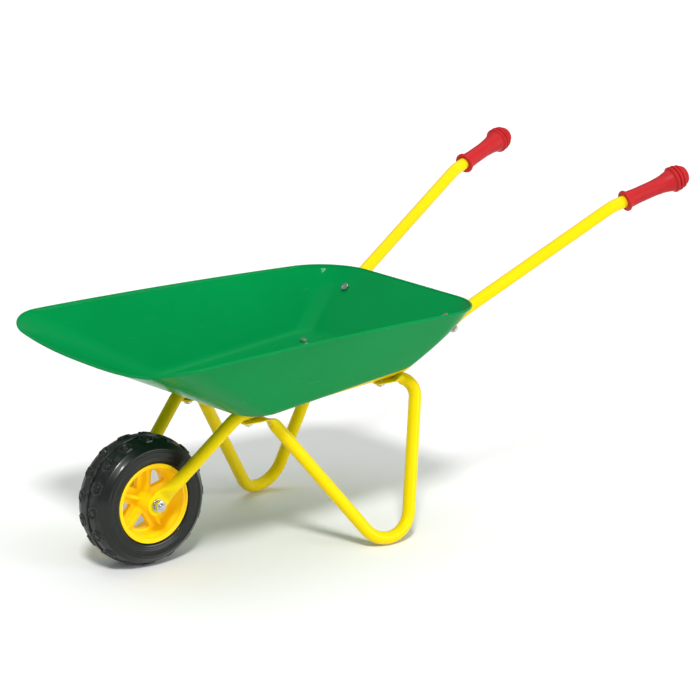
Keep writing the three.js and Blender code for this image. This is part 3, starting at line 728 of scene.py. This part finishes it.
def threaded_rings(radius, pitch, start, end, at, axis, segments=40):
    """A shank from start to end along the axis with a screw thread and a chamfered end."""
    axis = unit(np.array(axis, float))
    across = unit(np.cross(axis, vec(0, 1, 0) if abs(axis[1]) < 0.9 else vec(1, 0, 0)))
    other = np.cross(axis, across)
    angle = np.linspace(0, 2 * math.pi, segments, endpoint=False)
    spokes = np.outer(np.cos(angle), across) + np.outer(np.sin(angle), other)
    depth = pitch * 0.55
    heights = np.linspace(start, end, max(3, int(abs(end - start) / pitch * 8)) + 1)
    rings = [at + axis * start + 0.001 * spokes]
    for h in heights:
        wave = np.abs(((h / pitch + angle / (2 * math.pi)) % 1) * 2 - 1)
        bevel = np.clip(1 - abs(end - h) / (pitch * 0.9), 0, 1) * depth * 1.2
        rings.append(at + axis * h + (radius - depth * wave - bevel)[:, None] * spokes)
    rings.append(at + axis * end + (radius - depth * 2.3) * spokes)
    rings.append(at + axis * end + 0.001 * spokes)
    return rings


def reach_of(seat):
    return SHEET + 2 * TUBE_R + 2 * GAP + (2 * STRIP_T + GAP if seat[2] else 0)


def tray_bolt_surface(seat, pitch):
    at, up, _ = seat
    s = Surface()
    s.grid(hex_rings(BOLT_HEX, TRAY_NUT_H, at + up * 0.05, up, dish=0.25, washer=0.45))
    end = reach_of(seat) + TRAY_NUT_H + 1.6
    s.grid(threaded_rings(BOLT_R, pitch, 0.0, end, at + up * 0.04, -up))
    return s


def tray_nut_surface(seat):
    at, up, _ = seat
    return Surface().grid(hex_rings(BOLT_HEX, TRAY_NUT_H, at - up * reach_of(seat), -up,
                                    bore=BOLT_R - 0.1, both=True), loop=True)


# ---- wheel -----------------------------------------------------------------------------------
def tyre_profile():
    """Half of the tyre's section as (radius, distance from the middle), from the seat to the crown."""
    return rounded([
        (HUB_SEAT_R + GAP, 0, 0), (HUB_SEAT_R + GAP, HUB_LIP_Y - 2.6, 0),
        (HUB_LIP_R + 0.6, HUB_LIP_Y - 2.4, 0.6),
        (HUB_LIP_R + 1.6, HUB_LIP_Y + 0.4, 1.0), (53.0, 28.7, 0.8),
        (54.4, 28.75, 0.2), (54.8, 28.35, 0.2), (55.2, 28.8, 0.2),
        (56.8, 28.85, 0.2), (57.2, 28.45, 0.2), (57.6, 28.9, 0.2),
        (62.6, 28.9, 0.6), (63.7, 28.0, 0.7), (65.2, 28.1, 0.7), (66.4, 29.0, 1.2), (68.2, 28.0, 1.4),
        (69.8, 26.4, 1.5), (74.4, 22.4, 5.0), (77.7, 13.5, 8.0), (78.3, 4.6, 1.0),
        (77.2, 3.6, 0.4), (77.2, 2.9, 0.4), (79.8, 2.3, 0.4), (80.0, 1.3, 0.6), (80.0, 0, 0)],
        step=0.75, turn_step=15)


KNOB_R, KNOB_FROM_CROWN = 76.0, 14.8  # where the middle of a knob sits on the shoulder


def knob_height(arc, across, rise):
    """Raised six-sided pad with a shallow dish and a button in its middle."""
    ax, ac = np.abs(arc), np.abs(across)
    reach = np.maximum(ac, ax * math.cos(math.pi / 6) + ac * 0.5)
    centre = np.hypot(arc, across)
    return rise * (smooth((8.5 - reach) / 1.3) - 0.95 * smooth((6.4 - centre) / 1.2)
                   + 1.0 * smooth((4.4 - centre) / 1.3))


def tyre_surface(knobs, rise, around=768):
    half = tyre_profile()
    profile = np.concatenate([half * vec(1, -1), half[-2:0:-1]])
    tangent = unit(np.gradient(profile, axis=0))
    normal = np.column_stack([-tangent[:, 1], tangent[:, 0]])
    normal *= np.sign(normal[:, :1] + 1e-9) * np.where(profile[:, :1] < 50, 0, 1)
    run = runs(np.column_stack([profile, np.zeros(len(profile))]))
    middle = run[np.argmin(np.abs(profile[:, 1]) + (profile[:, 0] < 60) * 100)]
    from_crown = run - middle
    angle = np.linspace(0, 2 * math.pi, around, endpoint=False)
    pitch = 2 * math.pi / knobs
    out = np.zeros((len(profile), around))
    for side in (-1, 1):
        shift = angle + (pitch / 2 if side > 0 else 0)
        arc = ((shift + pitch / 2) % pitch - pitch / 2) * KNOB_R
        across = from_crown * side - KNOB_FROM_CROWN
        out += knob_height(arc[None, :], across[:, None], rise) * (np.sign(from_crown) == side)[:, None]
    radial = profile[:, :1] + normal[:, :1] * out
    axial = profile[:, 1:] + normal[:, 1:] * out
    radial = np.minimum(radial, WHEEL_R)
    rings = np.stack([radial * np.cos(angle), axial, WHEEL_R + radial * np.sin(angle)], -1)
    return Surface().grid(rings, loop=True)


def hub_depth(r, aside):
    """Outer face of the hub's web, with a rib along each spoke."""
    ridge = mix(13.0, 9.5, np.clip((r - BOSS_R) / (WEB_R - BOSS_R), 0, 1))
    return mix(WEB_FRONT, ridge, smooth((3.2 - aside) / 1.5))


def ray_to_polygon(origin, directions, polygon):
    """Distance from the origin to a closed polygon along each direction."""
    a, b = polygon, np.roll(polygon, -1, 0)
    edge = b - a
    out = []
    for d in directions:
        det = d[0] * edge[:, 1] - d[1] * edge[:, 0]
        to = a - origin
        with np.errstate(divide="ignore", invalid="ignore"):
            t = (to[:, 0] * edge[:, 1] - to[:, 1] * edge[:, 0]) / det
            u = (to[:, 0] * d[1] - to[:, 1] * d[0]) / det
        ok = (np.abs(det) > 1e-9) & (t > 0) & (u >= -1e-6) & (u <= 1 + 1e-6)
        out.append(t[ok].min())
    return np.array(out)


def sector_outline(r_in, r_out, arc_in, along, arc_out):
    half = math.pi / SPOKES
    inner = [(r_in, a) for a in np.linspace(-half, half, arc_in + 1)]
    up = [(r, half) for r in np.linspace(r_in, r_out, along + 1)[1:]]
    outer = [(r_out, a) for a in np.linspace(half, -half, arc_out + 1)[1:]]
    down = [(r, -half) for r in np.linspace(r_out, r_in, along + 1)[1:-1]]
    polar = np.array(inner + up + outer + down)
    return np.column_stack([polar[:, 0] * np.cos(polar[:, 1]), polar[:, 0] * np.sin(polar[:, 1])])


ARC_IN, ARC_OUT, ALONG = 16, 32, 26


def hub_web(surface):
    """Web between boss and barrel with a window in each sector, both faces and the window's walls."""
    r_in, r_out = BOSS_R, WEB_R
    rim = sector_outline(r_in, r_out, ARC_IN, ALONG, ARC_OUT)
    middle = vec(30.0, 0.0)
    corners = np.array([(16.6, 0.0), (35.2, -12.8), (37.6, 0.0), (35.2, 12.8)])
    ring = bent_line([(vec(36.9, 6.1, 0), 0)] + [(vec(*corners[k], 0), f) for k, f in
                                                 ((3, 2.0), (0, 1.6), (1, 2.0), (2, 8.0))]
                     + [(vec(36.9, 6.1, 0), 0)], turn_step=12)[:-1, :2]
    reach = ray_to_polygon(middle, unit(rim - middle), ring)
    window = middle + unit(rim - middle) * reach[:, None]
    shares = np.concatenate([[0.0, 0.03, 0.07], np.linspace(0.14, 1, 16)])
    flat = [mix(window, rim, s) for s in shares]
    for k in range(SPOKES):
        turn = SPOKE_PHASE + math.pi / SPOKES + 2 * math.pi * k / SPOKES
        cos, sin = math.cos(turn), math.sin(turn)
        front, back = [], []
        for i, loop in enumerate(flat):
            r = np.hypot(loop[:, 0], loop[:, 1])
            bearing = np.arctan2(loop[:, 1], loop[:, 0])
            aside = r * np.sin(np.clip(math.pi / SPOKES - np.abs(bearing), 0, 1.5))
            x, z = loop[:, 0] * cos - loop[:, 1] * sin, loop[:, 0] * sin + loop[:, 1] * cos
            lip = (0.9, 0.25, 0.0)[i] if i < 3 else 0.0
            front.append(np.column_stack([x, hub_depth(r, aside) - lip, WHEEL_R + z]))
            back.append(np.column_stack([x, np.full(len(loop), WEB_BACK) + lip * 0.5, WHEEL_R + z]))
        surface.grid(front)
        surface.grid(back)
        surface.grid([front[0], back[0]])


def hub_surface():
    """Right-hand half of the hub: boss, windowed web, dished barrel and lip."""
    s = Surface()
    hub_web(s)
    axle = vec(0, 0, WHEEL_R)
    lip, split = HUB_LIP_Y, GAP / 2
    dish = rounded([
        (WEB_R, WEB_FRONT, 0), (WEB_R + 1.0, WEB_FRONT + 0.2, 0.8), (HUB_SEAT_R - 3, 17, 4.0),
        (HUB_LIP_R - 2.9, lip - 0.9, 1.0), (HUB_LIP_R - 1.9, lip - 0.1, 0.5), (HUB_LIP_R - 0.7, lip, 0.5),
        (HUB_LIP_R, lip - 0.6, 0.4), (HUB_LIP_R, lip - 1.6, 0.2), (HUB_SEAT_R, lip - 1.9, 0.2),
        (HUB_SEAT_R, split, 0.3), (WEB_R + 1.6, split, 0.3), (WEB_R + 1.2, WEB_BACK, 0.3),
        (WEB_R, WEB_BACK, 0)],
        step=1.5, turn_step=18)
    count = ARC_OUT * SPOKES
    rings = hub_rings(dish, axle, count)
    for ring in rings:
        bearing = np.arctan2(ring[:, 2] - WHEEL_R, ring[:, 0])
        r = np.hypot(ring[0, 0], ring[0, 2] - WHEEL_R)
        if r < HUB_SEAT_R - 2 and ring[0, 1] > WEB_BACK + 0.5:
            ring[:, 1] = np.maximum(ring[:, 1], hub_depth(np.full(count, r), rib_distance(bearing, r)))
    s.grid(rings)
    boss = rounded([
        (BOSS_R, WEB_BACK, 0), (BOSS_R, split, 0.3), (HUB_BORE_R, split, 0.3), (HUB_BORE_R, BOSS_END, 0.3),
        (BOSS_R - 1.5, BOSS_END, 0.8), (BOSS_R - 0.2, 14.0, 1.0), (BOSS_R, WEB_FRONT, 0)],
        step=3.0, turn_step=18)
    count = ARC_IN * SPOKES
    rings = hub_rings(boss, axle, count)
    last = rings[-1]
    bearing = np.arctan2(last[:, 2] - WHEEL_R, last[:, 0])
    last[:, 1] = hub_depth(np.full(count, BOSS_R), rib_distance(bearing, BOSS_R))
    s.grid(rings)
    return s


def rib_distance(bearing, r):
    step = 2 * math.pi / SPOKES
    off = (bearing - SPOKE_PHASE + step / 2) % step - step / 2
    return np.abs(r * np.sin(off))


def hub_rings(profile, at, count):
    """Rings of a profile turned about the axle, with a point on each spoke line."""
    angle = SPOKE_PHASE + np.linspace(0, 2 * math.pi, count, endpoint=False)
    return [at + np.column_stack([r * np.cos(angle), np.full(count, h), r * np.sin(angle)])
            for r, h in profile]


# ---- axle ------------------------------------------------------------------------------------
TONGUE_OUT = TONGUE_Y + STRIP_T + GAP
WASHER_R, WASHER_H = 8.0, 1.6
AXLE_NUT_H = 6.4
SLEEVE_END = TONGUE_Y - STRIP_T - GAP
ALONG_AXLE = vec(0, 1, 0)


def washer_surface():
    profile = rounded([(AXLE_R + 0.3, 0, 0), (WASHER_R, 0, 0.3), (WASHER_R, WASHER_H, 0.4),
                       (AXLE_R + 0.3, WASHER_H, 0.2), (AXLE_R + 0.3, 0, 0)], step=2.0, turn_step=30)[:-1]
    return Surface().turned(profile, vec(0, TONGUE_OUT, WHEEL_R), ALONG_AXLE, 72, loop=True)


def sleeve_surface():
    r = HUB_BORE_R - 0.05
    profile = rounded([(AXLE_R + 0.3, 0, 0), (r, 0, 0.3), (r, 2 * SLEEVE_END, 0.3),
                       (AXLE_R + 0.3, 2 * SLEEVE_END, 0.2), (AXLE_R + 0.3, 0, 0)],
                      step=6.0, turn_step=30)[:-1]
    return Surface().turned(profile, vec(0, -SLEEVE_END, WHEEL_R), ALONG_AXLE, 64, loop=True)


def axle_bolt_surface():
    seat = TONGUE_OUT + WASHER_H + GAP
    at = vec(0, seat, WHEEL_R)
    end = 2 * seat + AXLE_NUT_H + 2.4
    s = Surface().grid(hex_rings(AXLE_HEX, 5.3, at, ALONG_AXLE, dish=0.35, washer=0.4))
    s.grid(threaded_rings(AXLE_R, AXLE_PITCH, 0.0, end, at, -ALONG_AXLE, 48))
    return s


def axle_nut_surface():
    seat = -(TONGUE_OUT + WASHER_H + GAP)
    return Surface().grid(hex_rings(AXLE_HEX, AXLE_NUT_H, vec(0, seat, WHEEL_R), -ALONG_AXLE,
                                    bore=AXLE_R - 0.1, both=True, phase=0.25), loop=True)


# ---- grips -----------------------------------------------------------------------------------
def grip_surface():
    along = GRIP_END - GRIP_START
    length = float(np.linalg.norm(along))
    profile = rounded([
        (0, GRIP_BORE, 0), (TUBE_R + GAP, GRIP_BORE, 0), (TUBE_R + GAP, 0.8, 0.3), (9.4, 0.1, 0.6),
        (12.8, 0.0, 1.2), (13.7, 1.6, 1.0), (13.7, 3.4, 1.0), (12.0, 5.0, 1.2), (10.9, 7.6, 2.0),
        (10.2, 20, 20), (10.2, 45, 40), (11.4, 60, 30), (14.2, 72.5, 2.0),
        (15.6, 73.6, 0.8), (16.9, 74.8, 0.9), (16.9, 77.2, 0.9), (14.3, 78.2, 0.7), (14.3, 79.2, 0.7),
        (16.6, 80.2, 0.9), (16.6, 82.6, 0.9), (13.8, 83.6, 0.7), (13.8, 84.6, 0.7),
        (15.4, 85.6, 0.9), (15.2, 88.0, 0.9), (12.4, 89.0, 0.7), (12.3, 89.8, 0.6),
        (12.9, 91.4, 1.0), (11.0, 94.6, 2.0), (6.0, length - 0.6, 4.0), (0, length - 0.2, 0)],
        step=1.2, turn_step=14)
    return Surface().turned(profile, GRIP_START, along, 72)


# ---- operators -------------------------------------------------------------------------------
class BARROW_OT_tray(bpy.types.Operator):
    """Build the pressed steel tray with its wired edge"""

    bl_idname = "barrow.tray"
    bl_label = "Tray"

    def execute(self, context):
        s = context.scene.barrow_tray
        paint = enamel("tray_enamel", s.colour, s.dusk, s.gloss, 0.05, 0.05)
        finished("tray_sheet", tray_surface(s.dip * 1000), "frame", ["tray"], paint)
        return {"FINISHED"}


class BARROW_OT_tubes(bpy.types.Operator):
    """Build both rails and both legs from bent tube"""

    bl_idname = "barrow.tubes"
    bl_label = "Rails and legs"

    def execute(self, context):
        s = context.scene.barrow_frame
        paint = enamel("frame_enamel", s.colour, s.dusk, 0.2, 0.04, 0.25)
        for name, side in SIDES:
            finished(f"rail_tube_{name}", rail_surface(s.segments).mirrored(side), "frame",
                     [f"rail_{name}"], paint, 50)
            finished(f"leg_tube_{name}", leg_surface(s.segments).mirrored(side), "frame",
                     [f"leg_{name}"], paint, 50)
        return {"FINISHED"}


class BARROW_OT_wheel(bpy.types.Operator):
    """Build the blown tyre and both moulded hub halves"""

    bl_idname = "barrow.wheel"
    bl_label = "Wheel"

    def execute(self, context):
        s = context.scene.barrow_wheel
        finished("tyre_tread", tyre_surface(s.knobs, s.knob_rise * 1000), "wheel", ["tyre"],
                 tyre_plastic("tyre_plastic", s.tyre, 0.3), 40)
        # The last argument, 0.22, is the hub's painted glow: emission that brightens its shaded recesses.
        plastic = moulded("hub_plastic", s.hub, s.hub_dusk, 0.3, 650.0, 0.22)
        for name, side in SIDES:
            finished(f"hub_half_{name}", hub_surface().mirrored(side), "wheel", [f"hub_{name}"],
                     plastic, 30)
        return {"FINISHED"}


class BARROW_OT_grips(bpy.types.Operator):
    """Build both slip-on grips"""

    bl_idname = "barrow.grips"
    bl_label = "Grips"

    def execute(self, context):
        s = context.scene.barrow_grips
        plastic = moulded("grip_plastic", s.colour, s.dusk, 0.42, 900.0, 0.0)
        for name, side in SIDES:
            finished(f"grip_sleeve_{name}", grip_surface().mirrored(side), "frame", [f"grip_{name}"],
                     plastic, 40)
        return {"FINISHED"}


class BARROW_OT_hardware(bpy.types.Operator):
    """Build the tray bolts, the axle bolt, the sleeve, the nuts and the washers"""

    bl_idname = "barrow.hardware"
    bl_label = "Fasteners"

    def execute(self, context):
        s = context.scene.barrow_hardware
        plate = zinc("zinc", s.colour)
        for name, side in SIDES:
            for where, seat in SEATS.items():
                finished(f"tray_bolt_{where}_{name}", tray_bolt_surface(seat, s.pitch * 1000).mirrored(side),
                         "frame", [f"bolt_{where}_{name}"], plate, 25)
                finished(f"tray_nut_{where}_{name}", tray_nut_surface(seat).mirrored(side), "frame",
                         [f"nut_{where}_{name}"], plate, 25)
            finished(f"fork_washer_{name}", washer_surface().mirrored(side), "frame",
                     [f"axle_washer_{name}"], plate)
        finished("wheel_sleeve", sleeve_surface(), "frame", ["axle_sleeve"], plate)
        finished("wheel_bolt", axle_bolt_surface(), "frame", ["axle_bolt"], plate, 25)
        finished("wheel_nut", axle_nut_surface(), "frame", ["axle_nut"], plate, 25)
        return {"FINISHED"}


class BARROW_OT_stage(bpy.types.Operator):
    """Set the floor, the lights, the surroundings and the camera"""

    bl_idname = "barrow.stage"
    bl_label = "Floor, lights and camera"

    def execute(self, context):
        scene, s = context.scene, context.scene.barrow_stage
        low, high = (Vector(corner) for corner in CAD_BOX)
        aim = Vector(((low.x + high.x) / 2 - 0.0063, (low.y + high.y) / 2, (low.z + high.z) / 2 - 0.0015))
        floor_plane(s.floor, low.z)
        studio_lights(scene, aim)
        back = Vector((math.sin(s.azimuth) * math.cos(s.elevation),
                       -math.cos(s.azimuth) * math.cos(s.elevation), math.sin(s.elevation)))
        lens = bpy.data.cameras.new("camera")
        lens.lens, lens.sensor_width, lens.clip_end = s.lens, 36.0, 60.0
        camera = bpy.data.objects.new("camera", lens)
        camera.location = aim + back * s.distance
        camera.rotation_euler = (-back).to_track_quat("-Z", "Y").to_euler()
        scene.collection.objects.link(camera)
        scene.camera = camera
        scene.view_settings.view_transform = "Standard"
        return {"FINISHED"}


FLOOR_SIZE, FLOOR_DROP = 30.0, 0.0004  # metres: half width, and how far it lies under the wheel


def floor_plane(colour, height):
    g = Graph("floor_paper")
    grain = g.noise(3.0, 2.0)
    tone = g.blend(grain * 0.4, colour[:], shade(colour, 0.985))
    paper = g.principled(Base_Color=tone, Roughness=0.9 + grain * 0.05)
    mesh = bpy.data.meshes.new("floor")
    size, z = FLOOR_SIZE, height - FLOOR_DROP
    corners = [(-size, -size, z), (size, -size, z), (size, size, z), (-size, size, z)]
    mesh.from_pydata(corners, [], [(0, 1, 2, 3)])
    mesh.materials.append(paper)
    floor = bpy.data.objects.new("floor", mesh)
    bpy.context.scene.collection.objects.link(floor)


def studio_lights(scene, aim):
    world = bpy.data.worlds.new("studio")
    world.use_nodes = True
    background = world.node_tree.nodes["Background"]
    background.inputs["Color"].default_value = (0.96, 0.98, 1.0, 1)
    background.inputs["Strength"].default_value = 0.34
    scene.world = world
    for name, toward, spread, power, tint in (
            ("key", (-0.75, -1.0, 1.5), 11.0, 2.2, (1.0, 0.99, 0.97)),
            ("fill", (0.7, -1.3, 0.35), 30.0, 1.25, (0.97, 0.985, 1.0)),
            ("top", (0.2, 0.3, 2.0), 60.0, 0.9, (1.0, 1.0, 1.0))):
        light = bpy.data.lights.new(name, "SUN")
        light.angle, light.energy, light.color = math.radians(spread), power, tint
        lamp = bpy.data.objects.new(name, light)
        lamp.location = aim + Vector(toward)
        lamp.rotation_euler = (-Vector(toward)).to_track_quat("-Z", "Y").to_euler()
        scene.collection.objects.link(lamp)


STEPS = (("tray", BARROW_OT_tray), ("tubes", BARROW_OT_tubes), ("wheel", BARROW_OT_wheel),
         ("grips", BARROW_OT_grips), ("hardware", BARROW_OT_hardware), ("stage", BARROW_OT_stage))
SETTINGS = (("barrow_tray", BarrowTraySettings), ("barrow_frame", BarrowFrameSettings),
            ("barrow_wheel", BarrowWheelSettings), ("barrow_grips", BarrowGripSettings),
            ("barrow_hardware", BarrowHardwareSettings), ("barrow_stage", BarrowStageSettings))


class BARROW_PT_panel(bpy.types.Panel):
    """Lists the wheelbarrow's pieces and their settings"""

    bl_label = "Wheelbarrow"
    bl_idname = "BARROW_PT_panel"
    bl_space_type = "VIEW_3D"
    bl_region_type = "UI"
    bl_category = "Wheelbarrow"

    def draw(self, context):
        for name, operator in STEPS:
            self.layout.operator(f"barrow.{name}", text=operator.bl_label)
        for name, group in SETTINGS:
            box = self.layout.box()
            settings = getattr(context.scene, name)
            for key in group.__annotations__:
                box.prop(settings, key)


CLASSES = [group for _, group in SETTINGS] + [operator for _, operator in STEPS] + [BARROW_PT_panel]


def register():
    for cls in CLASSES:
        bpy.utils.register_class(cls)
    for name, group in SETTINGS:
        setattr(bpy.types.Scene, name, bpy.props.PointerProperty(type=group))


def unregister():
    for name, _ in SETTINGS:
        delattr(bpy.types.Scene, name)
    for cls in reversed(CLASSES):
        bpy.utils.unregister_class(cls)


def main():
    register()
    for name, _ in STEPS:
        getattr(bpy.ops.barrow, name)()


if __name__ == "__main__":
    main()
